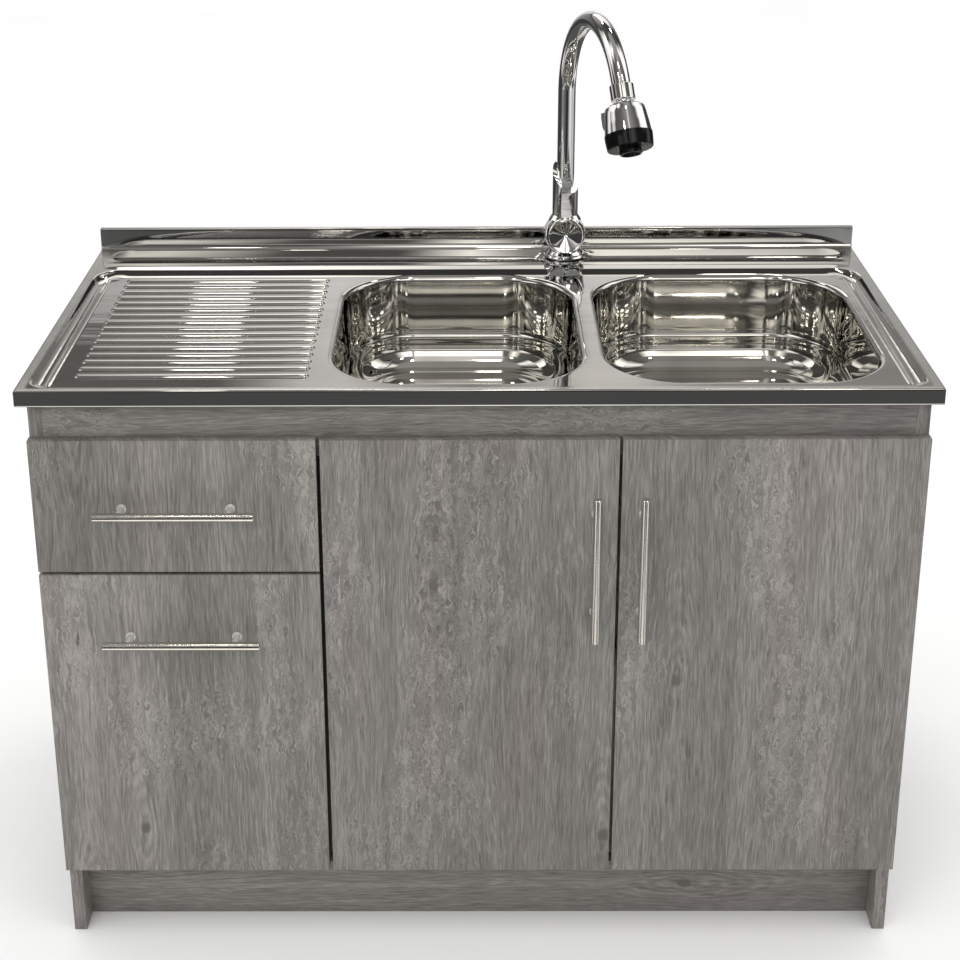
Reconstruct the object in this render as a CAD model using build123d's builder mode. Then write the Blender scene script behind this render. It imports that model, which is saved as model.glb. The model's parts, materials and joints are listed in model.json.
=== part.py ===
from build123d import *
from math import atan2, cos, degrees, radians, sin
import os

os.makedirs("parts", exist_ok=True)

# Kitchen sink unit in millimetres: +X to the right, +Y to the wall, +Z up from the floor.
# Lengths called "from the edge" are measured back from the front edge of the steel top.

# --- driving dimensions -------------------------------------------------------------------
width = 1200.0          # steel top, side to side
depth = 620.0           # front edge of the steel top to the wall
top_z = 857.0           # flat rim of the steel top
lip = 23.0              # folded front and side edges of the top
upstand = 34.0          # rear upstand above the rim
upstand_t = 10.0
sheet = 1.0             # steel of the top and the bowls
handle_reach = 28.0     # the handles stand this far in front of the top

edge_y = (handle_reach - depth) / 2
wall_y = edge_y + depth

# carcass
carcass_w = 1180.0
side_t = 18.0           # side panels, which are also the legs
board_t = 15.0          # divider, bottom, rails and toe kick
carcass_z = 842.0       # top of the boards, inside the folded lip
carcass_back = 612.0    # from the edge
back_t = 3.0
bottom_z = 118.0        # underside of the bottom panel
toe_setback = 65.0      # from the edge
service_x = (282.0, 548.0)      # opening in the back panel for the pipes
service_z = (300.0, 550.0)
rail_h = 88.0
rear_rail_h = 80.0
divider_x = -210.0

# drawer and door fronts
front_from_edge = 6.0
front_t = 16.0
front_gap = 2.6         # between the back of a front and the carcass
fronts_low = 116.5
fronts_high = 784.0
drawer_split = (588.4, 593.1)
left_column = (-590.0, -213.1)
left_door_x = (-207.9, 184.4)
right_door_x = (188.6, 590.0)

# drawer boxes and their ball runners
box_t = 12.0
base_t = 5.0
box_depth = 450.0
upper_box = (612.0, 732.0)
lower_box = (145.0, 405.0)
runner_t = 12.7
runner_length = 440.0
upper_runner_z = 655.0
lower_runner_z = 235.0

# handles
bar_r = 6.0
bar_length = 212.0
post_r = 5.0
post_spacing = 144.0
bar_standoff = 28.0     # front face to bar centre
upper_bar_z = 687.0
lower_bar_z = 496.0
drawer_bar_x = -400.0
door_bar_z = 605.5
left_bar_x = 155.5
right_bar_x = 218.0

# steel top
tray_drop = 6.0
tray_x = 564.0
tray_y = (20.5, 492.0)  # flat floor of the tray, from the edge
tray_slope = 9.0        # its sides slope outwards by this much
gutter_x = 572.0
gutter_r = 12.5
gutter_low = 9.0        # below the rim
gutter_y = (36.0, 484.0)
trough_y = 576.0        # shallow trough between the tray and the upstand
trough_half = 30.0
trough_low = 4.0
trough_x = 545.0
rib_count = 16
rib_x = (-527.5, -230.5)
rib_y = (66.0, 465.0)
rib_half = 6.5
rib_high = 3.0
collar_r = 8.0          # rounding from the tray into a bowl
collar_h = 9.0

# bowls: centre, size and corner radius at the tray, and the rounding at the floor
bowl_depth = 146.0
bowl_taper = 3.0
floor_r = 40.0
bowl_y = 262.5
left_bowl_x = -28.0
left_bowl_size = (352.0, 456.0)
right_bowl_x = 359.0
right_bowl_size = (386.0, 455.0)
bowl_corner = 111.0
waste_hole_r = 45.0

# tap
tap_x = 139.0
tap_from_edge = 570.0
tap_seat_r = 34.0
tap_hole_r = 17.0
shank_r = 16.0
drum_r = 32.0
drum_half = 17.0
drum_z = 894.0
drum_tilt = 10.0        # the lever's axis points this much above level
column_r = 25.0
sleeve_r = 19.8
sleeve_z = 985.6        # middle of the slanted rim
sleeve_slope = 48.0
tube_r = 13.4
tube_wall = 1.6
fit_gap = 0.05
spigot_low = 914.5
arc_z = 1117.6
arc_r = 132.0
arc_turn = 150.0
spout_turn = 14.5       # spout swung this far to the right of straight ahead

tray_z = top_z - tray_drop
face_y = edge_y + front_from_edge
front_back_y = face_y + front_t
carcass_y = front_back_y + front_gap
carcass_back_y = edge_y + carcass_back
inner_x = carcass_w / 2 - side_t
divider_left = divider_x - board_t / 2
divider_right = divider_x + board_t / 2


# --- helpers --------------------------------------------------------------------------------
def from_edge(y):
    return edge_y + y


def block(x, y, z, mode=Mode.ADD):
    # a box between two values along each axis
    with Locations(((x[0] + x[1]) / 2, (y[0] + y[1]) / 2, (z[0] + z[1]) / 2)):
        Box(x[1] - x[0], y[1] - y[0], z[1] - z[0], mode=mode)


def rod(start, direction, radius, length, mode=Mode.ADD):
    # a round bar from a point along a direction
    with Locations(Plane(origin=start, z_dir=direction)):
        Cylinder(radius, length, align=(Align.CENTER, Align.CENTER, Align.MIN), mode=mode)


def turned(plane, outline):
    # a solid of revolution about the plane's vertical direction: outline is (radius, height) pairs
    with BuildSketch(plane) as half_section:
        with BuildLine():
            Polyline(*outline, close=True)
        make_face()
    revolve(half_section.sketch, axis=Axis(plane.origin, plane.y_dir))


def save(piece, name):
    piece.part.label = name
    export_step(piece.part, f"parts/{name}.step")


def save_board(name, x, y, z):
    with BuildPart() as board:
        block(x, y, z)
    save(board, name)


# --- steel top and bowls --------------------------------------------------------------------
def pressed_tray(extra):
    # tray with sloping sides and a gutter at each side; extra is the sheet's thickness for the outside
    reach = width / 2
    gutter_z = top_z - gutter_low + gutter_r
    slope = degrees(atan2(tray_slope, tray_drop))
    with BuildPart() as tray:
        for x in (-gutter_x, gutter_x):
            rod((x, from_edge(gutter_y[0]), gutter_z), (0, 1, 0), gutter_r + extra, gutter_y[1] - gutter_y[0])
            with Locations(*[(x, from_edge(y), gutter_z) for y in gutter_y]):
                Sphere(gutter_r + extra)
        block((-reach, reach), (edge_y, wall_y), (top_z, 2 * top_z), Mode.SUBTRACT)
        with BuildSketch(Plane.XY.offset(top_z)):
            with Locations((0, from_edge(sum(tray_y) / 2))):
                Rectangle(2 * (tray_x + tray_slope + extra), tray_y[1] - tray_y[0] + 2 * (tray_slope + extra))
        extrude(amount=-(tray_drop + extra), taper=slope)
    return tray.part


def pressed_trough(extra):
    # shallow trough with rounded ends, between the tray and the upstand
    trough_r = (trough_half ** 2 + trough_low ** 2) / (2 * trough_low)
    trough_z = top_z - trough_low + trough_r
    reach = trough_x + 2 * trough_r
    with BuildPart() as trough:
        rod((-trough_x, from_edge(trough_y), trough_z), (1, 0, 0), trough_r + extra, 2 * trough_x)
        with Locations(*[(x, from_edge(trough_y), trough_z) for x in (-trough_x, trough_x)]):
            Sphere(trough_r + extra)
        block((-reach, reach), (edge_y, wall_y + width), (top_z, 2 * top_z), Mode.SUBTRACT)
    return trough.part


def drainer_ribs():
    rib_r = (rib_half ** 2 + rib_high ** 2) / (2 * rib_high)
    rib_z = tray_z + rib_high - rib_r
    pitch = (rib_y[1] - rib_y[0]) / (rib_count - 1)
    rows = [from_edge(rib_y[0] + pitch * i) for i in range(rib_count)]
    with BuildPart() as ribs:
        for y in rows:
            rod((rib_x[0], y, rib_z), (1, 0, 0), rib_r, rib_x[1] - rib_x[0])
            with Locations((rib_x[0], y, rib_z), (rib_x[1], y, rib_z)):
                Sphere(rib_r)
        block((-width / 2, 0), (edge_y, wall_y), (tray_z - 4 * rib_r, tray_z - sheet / 2), Mode.SUBTRACT)
    return ribs.part


def bowl_outline(centre_x, size, inset, mode=Mode.ADD):
    with Locations((centre_x, from_edge(bowl_y))):
        RectangleRounded(size[0] - 2 * inset, size[1] - 2 * inset, bowl_corner - inset, mode=mode)


def ring_under_collar(centre_x, size):
    # the space under the rounded edge of a bowl opening
    with BuildPart() as under:
        with BuildSketch(Plane.XY.offset(tray_z - collar_h - 1)):
            bowl_outline(centre_x, size, -collar_r)
        extrude(amount=collar_h + 1 - sheet)
        with BuildSketch(Plane.XY.offset(tray_z - collar_h - 1)):
            bowl_outline(centre_x, size, collar_r - sheet)
        extrude(amount=collar_h + 1 - sheet, mode=Mode.SUBTRACT)
        fillet(under.faces().sort_by(Axis.Z)[-1].inner_wires()[0].edges(), collar_r - sheet)
    return under.part


def bowl_collar(centre_x, size):
    # the tray's sheet turned down into a bowl
    under = ring_under_collar(centre_x, size)
    with BuildPart() as collar:
        with BuildSketch(Plane.XY.offset(tray_z - collar_h)):
            bowl_outline(centre_x, size, -2 * sheet)
        extrude(amount=collar_h)
        with BuildSketch(Plane.XY.offset(tray_z - collar_h)):
            bowl_outline(centre_x, size, collar_r)
        extrude(amount=collar_h, mode=Mode.SUBTRACT)
        fillet(collar.faces().sort_by(Axis.Z)[-1].inner_wires()[0].edges(), collar_r)
        add(under, mode=Mode.SUBTRACT)
    return collar.part


def sink_top():
    half = width / 2
    ribs = drainer_ribs()
    outsides = [pressed_tray(sheet), pressed_trough(sheet)]
    insides = [pressed_tray(0), pressed_trough(0)]
    bowls = ((left_bowl_x, left_bowl_size), (right_bowl_x, right_bowl_size))
    collars = [bowl_collar(x, size) for x, size in bowls]
    with BuildPart() as top:
        block((-half, half), (edge_y, wall_y), (top_z - lip, top_z))
        fillet(top.edges().filter_by(Axis.Z), 1.5)
        fillet(top.edges().group_by(Axis.Z)[-1].sort_by(Axis.Y)[:-1], 1.5)
        block((-half + sheet, half - sheet), (edge_y + sheet, wall_y - sheet), (0, top_z - sheet),
              Mode.SUBTRACT)
        for shape in outsides:
            add(shape)
        for shape in insides:
            add(shape, mode=Mode.SUBTRACT)
        # flat seat for the tap
        rod((tap_x, from_edge(tap_from_edge), top_z - trough_low - sheet / 2), (0, 0, 1), tap_seat_r,
            trough_low + sheet / 2)
        # hollow upstand
        block((-half, half), (wall_y - upstand_t, wall_y), (top_z - sheet, top_z + upstand))
        block((-half + sheet, half - sheet), (wall_y - upstand_t + sheet, wall_y - sheet),
              (0, top_z + upstand - sheet), Mode.SUBTRACT)
        for centre_x, size in bowls:
            with BuildSketch(Plane.XY.offset(tray_z - 2 * sheet)):
                bowl_outline(centre_x, size, 0)
            extrude(amount=tray_drop + 3 * sheet, mode=Mode.SUBTRACT)
        for shape in collars:
            add(shape)
        add(ribs)
        rod((tap_x, from_edge(tap_from_edge), top_z - lip), (0, 0, 1), tap_hole_r, 2 * lip, Mode.SUBTRACT)
    save(top, "sink_top")


def bowl_shape(centre_x, size, inset, drop, rounding):
    with BuildPart() as shape:
        with BuildSketch(Plane.XY.offset(tray_z - collar_h)):
            bowl_outline(centre_x, size, inset)
        extrude(amount=-(drop - collar_h), taper=bowl_taper)
        fillet(shape.faces().sort_by(Axis.Z)[0].edges(), rounding)
    return shape.part


def bowl(name, centre_x, size):
    inside = bowl_shape(centre_x, size, collar_r, bowl_depth, floor_r)
    with BuildPart() as basin:
        add(bowl_shape(centre_x, size, collar_r - sheet, bowl_depth + sheet, floor_r + sheet))
        add(inside, mode=Mode.SUBTRACT)
        rod((centre_x, from_edge(bowl_y), 0), (0, 0, 1), waste_hole_r, top_z, Mode.SUBTRACT)
    save(basin, name)


# --- waste fittings: one set under each bowl -------------------------------------------------
floor_z = tray_z - bowl_depth
bowl_centres = [(left_bowl_x, from_edge(bowl_y)), (right_bowl_x, from_edge(bowl_y))]


def upright(x, y, z=0.0):
    # a sketch plane for turned pieces whose axis points up
    return Plane(origin=(x, y, z), x_dir=(1, 0, 0), z_dir=(0, -1, 0))


def drain_flanges():
    outline = [(42, floor_z + 1.5), (54, floor_z + 1.5), (56, floor_z), (43.5, floor_z), (43.5, floor_z - 50),
               (20, floor_z - 64), (20, floor_z - 104), (18.5, floor_z - 104), (18.5, floor_z - 63.2),
               (42, floor_z - 49.2), (42, floor_z - 7), (39.5, floor_z - 7), (39.5, floor_z - 5),
               (42, floor_z - 5)]
    with BuildPart() as flanges:
        for x, y in bowl_centres:
            turned(upright(x, y), outline)
    save(flanges, "drain_flanges")


def drain_basket(name, x, y):
    rim = floor_z - 5
    with BuildPart() as basket:
        turned(upright(x, y, rim), [(0, -24), (38, -24), (38, 0), (41.5, 0), (41.5, 1.5), (37, 1.5),
                                    (37, -23), (0, -23)])
        turned(upright(x, y, rim), [(0, -23.5), (4, -23.5), (3, 2), (9, 4), (9, 8), (7, 10), (0, 10)])
        with Locations((x, y, rim - 23.5)):
            for radius, count in ((12, 8), (20, 14), (28, 20)):
                with PolarLocations(radius, count):
                    Cylinder(1.8, 4, mode=Mode.SUBTRACT)
        with Locations((x, y, rim - 12)):
            with PolarLocations(37.5, 24):
                Box(4, 2.4, 15, mode=Mode.SUBTRACT)
    save(basket, name)


def drain_gaskets():
    with BuildPart() as gaskets:
        for x, y in bowl_centres:
            turned(upright(x, y, floor_z - sheet), [(43.6, -3), (54, -3), (54, 0), (43.6, 0)])
    save(gaskets, "drain_gaskets")


def drain_locknuts():
    low = floor_z - sheet - 15
    with BuildPart() as nuts:
        for x, y in bowl_centres:
            with BuildSketch(Plane.XY.offset(low)):
                with Locations((x, y)):
                    Circle(51)
                    with PolarLocations(51, 6):
                        Rectangle(9, 10)
                    Circle(43.6, mode=Mode.SUBTRACT)
            extrude(amount=12)
    save(nuts, "drain_locknuts")


# --- tap ------------------------------------------------------------------------------------
tap_y = from_edge(tap_from_edge)
lever_axis = (0.0, -cos(radians(drum_tilt)), sin(radians(drum_tilt)))
drum_centre = (tap_x, tap_y, drum_z)
ahead = (sin(radians(spout_turn)), -cos(radians(spout_turn)), 0.0)
spout_side = (-cos(radians(spout_turn)), -sin(radians(spout_turn)), 0.0)
body_top = 926.0
pin_at = 32.0           # lever's cross pin, along the lever's axis


def along(start, direction, distance):
    return tuple(p + d * distance for p, d in zip(start, direction))


def axis_plane(origin, side, axis):
    return Plane(origin=origin, x_dir=side, z_dir=Vector(*side).cross(Vector(*axis)))


def face_plane(origin, side, axis, distance):
    # a sketch plane square to an axis, some distance along it
    return Plane(origin=along(origin, axis, distance), x_dir=side, z_dir=axis)


def tap_gasket():
    with BuildPart() as gasket:
        turned(upright(tap_x, tap_y, top_z), [(shank_r, 0), (30, 0), (30, 1.5), (shank_r, 1.5)])
    save(gasket, "tap_gasket")


def tap_base_flange():
    with BuildPart() as flange:
        turned(upright(tap_x, tap_y, top_z + 1.5),
               [(shank_r, 0), (32, 0), (32, 1.5), (30, 3.5), (shank_r, 3.5)])
    save(flange, "tap_base_flange")


def tap_body():
    base = top_z + 5
    with BuildPart() as body:
        rod(along(drum_centre, lever_axis, -drum_half), lever_axis, drum_r, 2 * drum_half)
        fillet(body.edges(), 4)
        turned(upright(tap_x, tap_y), [(0, base), (29, base), (29, base + 2), (column_r, base + 6),
                                       (column_r, 918), (20, body_top), (0, body_top)])
        rod(drum_centre, lever_axis, 19, 23)
        rod(along(drum_centre, lever_axis, -12), lever_axis, 17.5, 40, Mode.SUBTRACT)
        rod((tap_x, tap_y, spigot_low - 0.5), (0, 0, 1), tube_r + fit_gap, 40, Mode.SUBTRACT)
        rod((tap_x, tap_y, 0), (0, 0, 1), 2 * drum_r, base, Mode.SUBTRACT)
    save(body, "tap_body")


def cartridge():
    with BuildPart() as unit:
        turned(axis_plane(drum_centre, (1, 0, 0), lever_axis),
               [(0, -12), (16.5, -12), (17.4, -11), (17.4, 20), (15, 22), (5.05, 22), (5.05, 13.5),
                (0, 13.5)])
    save(unit, "cartridge")


def lever_carrier():
    # turns in the cartridge; the lever tips on its cross pin
    pin = along(drum_centre, lever_axis, pin_at)
    with BuildPart() as carrier:
        turned(axis_plane(drum_centre, (1, 0, 0), lever_axis),
               [(0, 14), (5, 14), (5, 22.3), (10, 22.3), (10, pin_at - 4.5), (0, pin_at - 4.5)])
        with BuildSketch(face_plane(drum_centre, (1, 0, 0), lever_axis, pin_at - 5)):
            Rectangle(18, 5.2)
        extrude(amount=5)
        rod(along(pin, (1, 0, 0), -9), (1, 0, 0), 2.7, 18)
        rod(along(pin, (1, 0, 0), -12.3), (1, 0, 0), 1.6, 24.6)
    save(carrier, "lever_carrier")


def lever():
    # cupped round knob with a flat blade standing up from it
    pin = along(drum_centre, lever_axis, pin_at)
    blade_y = tap_y - 31
    blade = [(tap_x - 8, 919), (tap_x + 8, 919), (tap_x + 6.8, 993), (tap_x - 6.8, 993)]
    with BuildPart() as knob:
        turned(axis_plane(pin, (1, 0, 0), lever_axis),
               [(0, 3), (24.5, 3), (24.5, -4), (26.2, -4), (27, -3), (27, 9.5), (26, 11), (25, 10.6),
                (0, 5.2)])
        with BuildSketch(face_plane(pin, (1, 0, 0), lever_axis, -3)):
            with Locations((-10.8, 0), (10.8, 0)):
                Rectangle(3, 8)
        extrude(amount=6.2)
        rod(along(pin, (1, 0, 0), -14), (1, 0, 0), 1.65, 28, Mode.SUBTRACT)
        with BuildSketch(Plane.XZ.offset(-blade_y)):
            with BuildLine():
                Polyline(*blade, close=True)
            make_face()
        extrude(amount=2, both=True)
        fillet(knob.edges().group_by(Axis.Z)[-1].filter_by(Axis.Y), 3)
    save(knob, "lever")


def spout_sleeve():
    # collar on the foot of the spout, its top cut on the slant
    turn = radians(32.6)
    tilt = radians(sleeve_slope)
    normal = (sin(turn) * sin(tilt), -cos(turn) * sin(tilt), cos(tilt))
    with BuildPart() as sleeve:
        rod((tap_x, tap_y, body_top + 0.5), (0, 0, 1), sleeve_r, 90)
        rod((tap_x, tap_y, body_top - 1), (0, 0, 1), tube_r, 120, Mode.SUBTRACT)
        split(bisect_by=Plane(origin=(tap_x, tap_y, sleeve_z), z_dir=normal), keep=Keep.BOTTOM)
    save(sleeve, "spout_sleeve")


spout_plane = axis_plane((tap_x, tap_y, 0), ahead, (0, 0, 1))
reach_out = arc_r * (1 - cos(radians(arc_turn)))
spout_end = along((tap_x, tap_y, arc_z + arc_r * sin(radians(arc_turn))), ahead, reach_out)
head_axis = tuple(a * sin(radians(arc_turn)) for a in ahead[:2]) + (cos(radians(arc_turn)),)
head_front = tuple(Vector(*head_axis).cross(Vector(*spout_side)))
head_plane = axis_plane(spout_end, spout_side, head_axis)


def spout_tube():
    with BuildPart() as tube:
        with BuildLine(spout_plane):
            riser = Line((0, spigot_low), (0, arc_z))
            bend = JernArc(riser @ 1, riser % 1, arc_r, -arc_turn)
            Line(bend @ 1, bend @ 1 + 9 * (bend % 1))
        with BuildSketch(Plane.XY.offset(spigot_low).move(Location((tap_x, tap_y, 0)))):
            Circle(tube_r)
            Circle(tube_r - tube_wall, mode=Mode.SUBTRACT)
        sweep()
    save(tube, "spout_tube")


ball_at = 21.0
ball_r = 11.0


def collar_nut():
    ball = along(spout_end, head_axis, ball_at)
    with BuildPart() as nut:
        turned(head_plane, [(tube_r, 3), (16.4, 3), (17, 3.6), (17, 24.4), (16.4, 25), (9, 25), (9, 11.5),
                            (tube_r, 9)])
        with Locations(ball):
            Sphere(ball_r + 0.3, mode=Mode.SUBTRACT)
    save(nut, "collar_nut")


def swivel_ball():
    ball = along(spout_end, head_axis, ball_at)
    with BuildPart() as joint:
        with Locations(ball):
            Sphere(ball_r)
        rod(ball, head_axis, 6, 17.3)
        rod(along(ball, head_axis, 15.3), head_axis, 9, 2)
        rod(along(ball, head_axis, -ball_r), head_axis, 3.5, 40, Mode.SUBTRACT)
    save(joint, "swivel_ball")


toggle_turn = radians(52.0)
toggle_out = tuple(s * sin(toggle_turn) + f * cos(toggle_turn) for s, f in zip(spout_side, head_front))
toggle_plane = Plane(origin=along(spout_end, head_axis, 50), x_dir=head_axis, z_dir=toggle_out)


def spray_bell():
    with BuildPart() as bell:
        turned(head_plane, [(6.05, 31), (12, 31), (23, 32.5), (27.5, 36), (29, 42), (31.5, 60), (33, 74),
                            (30, 74), (28.6, 60), (26.2, 44), (24, 40.5), (9.5, 40.5), (9.5, 36), (6.05, 36)])
        with BuildSketch(toggle_plane.offset(25.5)):
            Rectangle(24, 20)
        extrude(amount=6.5)
        with BuildSketch(toggle_plane.offset(27.5)):
            Rectangle(21, 17.1)
        extrude(amount=20, mode=Mode.SUBTRACT)
    save(bell, "spray_bell")


def spray_toggle():
    with BuildPart() as toggle:
        with BuildSketch(toggle_plane.offset(27.6)):
            Rectangle(16.8, 17)
        extrude(amount=5.8)
        fillet(toggle.faces().sort_by(Axis(toggle_plane.origin, toggle_plane.z_dir))[-1].edges(), 1.2)
    save(toggle, "spray_toggle")


def spray_ring():
    with BuildPart() as ring:
        turned(head_plane, [(30, 74), (33.7, 74), (33.7, 80), (32.4, 94), (31.4, 95), (15.8, 95),
                            (15.8, 92), (30, 92)])
        with Locations(axis_plane(along(spout_end, head_axis, 95), spout_side, head_front)):
            for radius, count in ((19.5, 16), (23.8, 22), (28, 28)):
                with PolarLocations(radius, count):
                    Cylinder(0.9, 1.6)
    save(ring, "spray_ring")


def spray_face():
    with BuildPart() as face:
        turned(head_plane, [(0, 92), (15.8, 92), (15.8, 102), (14.8, 103), (13, 103), (12, 99), (0, 99)])
        with Locations(axis_plane(along(spout_end, head_axis, 98), spout_side, head_front)):
            for radius, count in ((3, 6), (6, 12), (9, 18)):
                with PolarLocations(radius, count):
                    Cylinder(0.8, 4, mode=Mode.SUBTRACT)
    save(face, "spray_face")


def tap_shank():
    with BuildPart() as shank:
        turned(upright(tap_x, tap_y), [(12, 795), (15, 795), (shank_r, 796), (shank_r, top_z + 5),
                                       (0, top_z + 5), (0, 850), (12, 850)])
    save(shank, "tap_shank")


def tap_locknut():
    with BuildPart() as nut:
        turned(upright(tap_x, tap_y), [(shank_r, 848), (28, 848), (28, 852), (shank_r, 852)])
        with BuildSketch(Plane.XY.offset(838)):
            with Locations((tap_x, tap_y)):
                RegularPolygon(24, 6)
                Circle(shank_r, mode=Mode.SUBTRACT)
        extrude(amount=10)
    save(nut, "tap_locknut")


def inlet_tails():
    with BuildPart() as tails:
        for side in (-6.5, 6.5):
            turned(upright(tap_x + side, tap_y), [(3.5, 765), (5, 765), (5, 850), (0, 850), (0, 846),
                                                  (3.5, 846)])
    save(tails, "inlet_tails")


# --- carcass ---------------------------------------------------------------------------------
screw_points = [(y, bottom_z + board_t / 2) for y in (-200, 0, 200)]
screw_points += [(carcass_y + board_t / 2, z) for z in (775, 820)]
screw_points += [(carcass_back_y - board_t / 2, z) for z in (782, 822)]
screw_points += [(from_edge(toe_setback) + board_t / 2, z) for z in (30, 88)]
screw_r = 3.4
screw_head_r = 5.0
screw_head = 3.5
screw_length = 50.0


def screw_shapes(side, mode):
    # a screw's shape at each screw point of a side, from the outer face inwards
    outer = side * carcass_w / 2
    for y, z in screw_points:
        rod((outer, y, z), (-side, 0, 0), screw_r, screw_length, mode)
        rod((outer, y, z), (-side, 0, 0), screw_head_r, screw_head, mode)


def side_panel(name, side):
    with BuildPart() as panel:
        block(sorted((side * inner_x, side * carcass_w / 2)), (carcass_y, carcass_back_y), (0, carcass_z))
        screw_shapes(side, Mode.SUBTRACT)
    save(panel, name)


def cross_board(name, y, z):
    # a board between the side panels, bored at its ends for the screws
    with BuildPart() as board:
        block((-inner_x, inner_x), y, z)
        for side in (-1, 1):
            screw_shapes(side, Mode.SUBTRACT)
    save(board, name)


def divider_panel():
    with BuildPart() as panel:
        block((divider_left, divider_right), (carcass_y, carcass_back_y - board_t),
              (bottom_z + board_t, carcass_z))
        block((divider_left, divider_right), (carcass_y, carcass_y + board_t),
              (carcass_z - rail_h, carcass_z), Mode.SUBTRACT)
    save(panel, "divider_panel")


def back_panel():
    reach = carcass_w / 2 - 2
    with BuildPart() as panel:
        block((-reach, reach), (carcass_back_y, carcass_back_y + back_t), (100, carcass_z - 2))
        block(service_x, (carcass_back_y, carcass_back_y + back_t), service_z, Mode.SUBTRACT)
    save(panel, "back_panel")


def carcass_screws():
    with BuildPart() as screws:
        for side in (-1, 1):
            screw_shapes(side, Mode.ADD)
            for y, z in screw_points:
                with BuildSketch(Plane(origin=(side * carcass_w / 2, y, z), z_dir=(-side, 0, 0))):
                    RegularPolygon(2.3, 6)
                extrude(amount=2.2, mode=Mode.SUBTRACT)
    save(screws, "carcass_screws")


def top_clips():
    # bent strips from the side panels up to the underside of the steel top
    under = tray_z - sheet
    with BuildPart() as clips:
        for side in (-1, 1):
            for y in (from_edge(120), from_edge(400)):
                across = (y - 10, y + 10)
                block(sorted((side * (inner_x - 2), side * inner_x)), across, (carcass_z - 42, carcass_z))
                block(sorted((side * (inner_x - 17), side * inner_x)), across, (carcass_z - 2, carcass_z))
                block(sorted((side * (inner_x - 17), side * (inner_x - 15))), across, (carcass_z - 2, under))
    save(clips, "top_clips")


# --- fronts, handles, drawers and doors --------------------------------------------------------
def front_panel(name, x, z):
    save_board(name, x, (face_y, front_back_y), z)


def bar_handle(name, x, z, upright_bar):
    run = (0, 0, 1) if upright_bar else (1, 0, 0)
    across = (1, 0, 0) if upright_bar else (0, 0, 1)
    centre = (x, face_y - bar_standoff, z)
    with BuildPart() as bar:
        turned(axis_plane(centre, across, run),
               [(0, -bar_length / 2 + 0.8), (3, -bar_length / 2), (bar_r - 1, -bar_length / 2),
                (bar_r, -bar_length / 2 + 1), (bar_r, bar_length / 2 - 1), (bar_r - 1, bar_length / 2),
                (3, bar_length / 2), (0, bar_length / 2 - 0.8)])
    save(bar, name + "_handle_bar")
    with BuildPart() as posts:
        for step in (-post_spacing / 2, post_spacing / 2):
            foot = along((x, face_y, z), run, step)
            rod(foot, (0, -1, 0), post_r, bar_standoff)
            rod(foot, (0, -1, 0), post_r + 1.5, 2)
        rod(along(centre, run, -bar_length / 2), run, bar_r, bar_length, Mode.SUBTRACT)
    save(posts, name + "_handle_posts")


drawer_x = (-inner_x + runner_t, divider_left - runner_t)
drawer_y = (front_back_y, front_back_y + box_depth)


def drawer_box(name, z):
    with BuildPart() as box:
        block(drawer_x, drawer_y, z)
        block((drawer_x[0] + box_t, drawer_x[1] - box_t), (drawer_y[0] + box_t, drawer_y[1] - box_t), z,
              Mode.SUBTRACT)
    save(box, name + "_box")
    save_board(name + "_base", drawer_x, drawer_y, (z[0] - base_t, z[0]))


def channel(wall_x, way, z, web, flange_from, flange_to, half_height, y):
    # a rolled channel beside a wall: web and flange distances are measured off the wall
    block(sorted((wall_x + way * web[0], wall_x + way * web[1])), y, (z - half_height, z + half_height))
    for edge in (-half_height, half_height - 1.2):
        block(sorted((wall_x + way * flange_from, wall_x + way * flange_to)), y, (z + edge, z + edge + 1.2))


runner_sides = ((-inner_x, 1), (divider_left, -1))
runner_y = (from_edge(28), from_edge(28) + runner_length)


def runner_cabinet_members():
    with BuildPart() as runners:
        for z in (upper_runner_z, lower_runner_z):
            for wall_x, way in runner_sides:
                channel(wall_x, way, z, (0, 1.2), 0, 8.5, 22.5, runner_y)
    save(runners, "runner_cabinet_members")


def drawer_runners(name, z):
    with BuildPart() as middle:
        for wall_x, way in runner_sides:
            channel(wall_x, way, z, (3, 4.2), 3, 10.5, 19.5, runner_y)
    save(middle, name + "_runner_middle")
    with BuildPart() as inner:
        for wall_x, way in runner_sides:
            channel(wall_x, way, z, (runner_t - 1.2, runner_t), 5.5, runner_t, 16.5, runner_y)
    save(inner, name + "_runner_inner")


# Hinge layout, from the hinge edge of a door (u) and from its front face (w).
pin_u = 6.5
pin_w = 6.3
pin_r = 1.2
cup_u = 20.5
cup_r = 17.5
cup_floor = 3.0
hinge_heights = (216.5, 684.0)
right_hinge = (right_door_x[1], -1)     # hinge edge, and the way across the door from it
left_hinge = (left_door_x[0], 1)


def hinge_x(hinge, u):
    return hinge[0] + hinge[1] * u


def hinge_block(hinge, u, w, z, mode=Mode.ADD):
    block(sorted((hinge_x(hinge, u[0]), hinge_x(hinge, u[1]))), (face_y + w[0], face_y + w[1]), z, mode)


def door_panel(name, x, hinge):
    with BuildPart() as panel:
        block(x, (face_y, front_back_y), (fronts_low, fronts_high))
        for z in hinge_heights:
            rod((hinge_x(hinge, cup_u), face_y + cup_floor, z), (0, 1, 0), cup_r, 40, Mode.SUBTRACT)
    save(panel, name)


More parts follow.
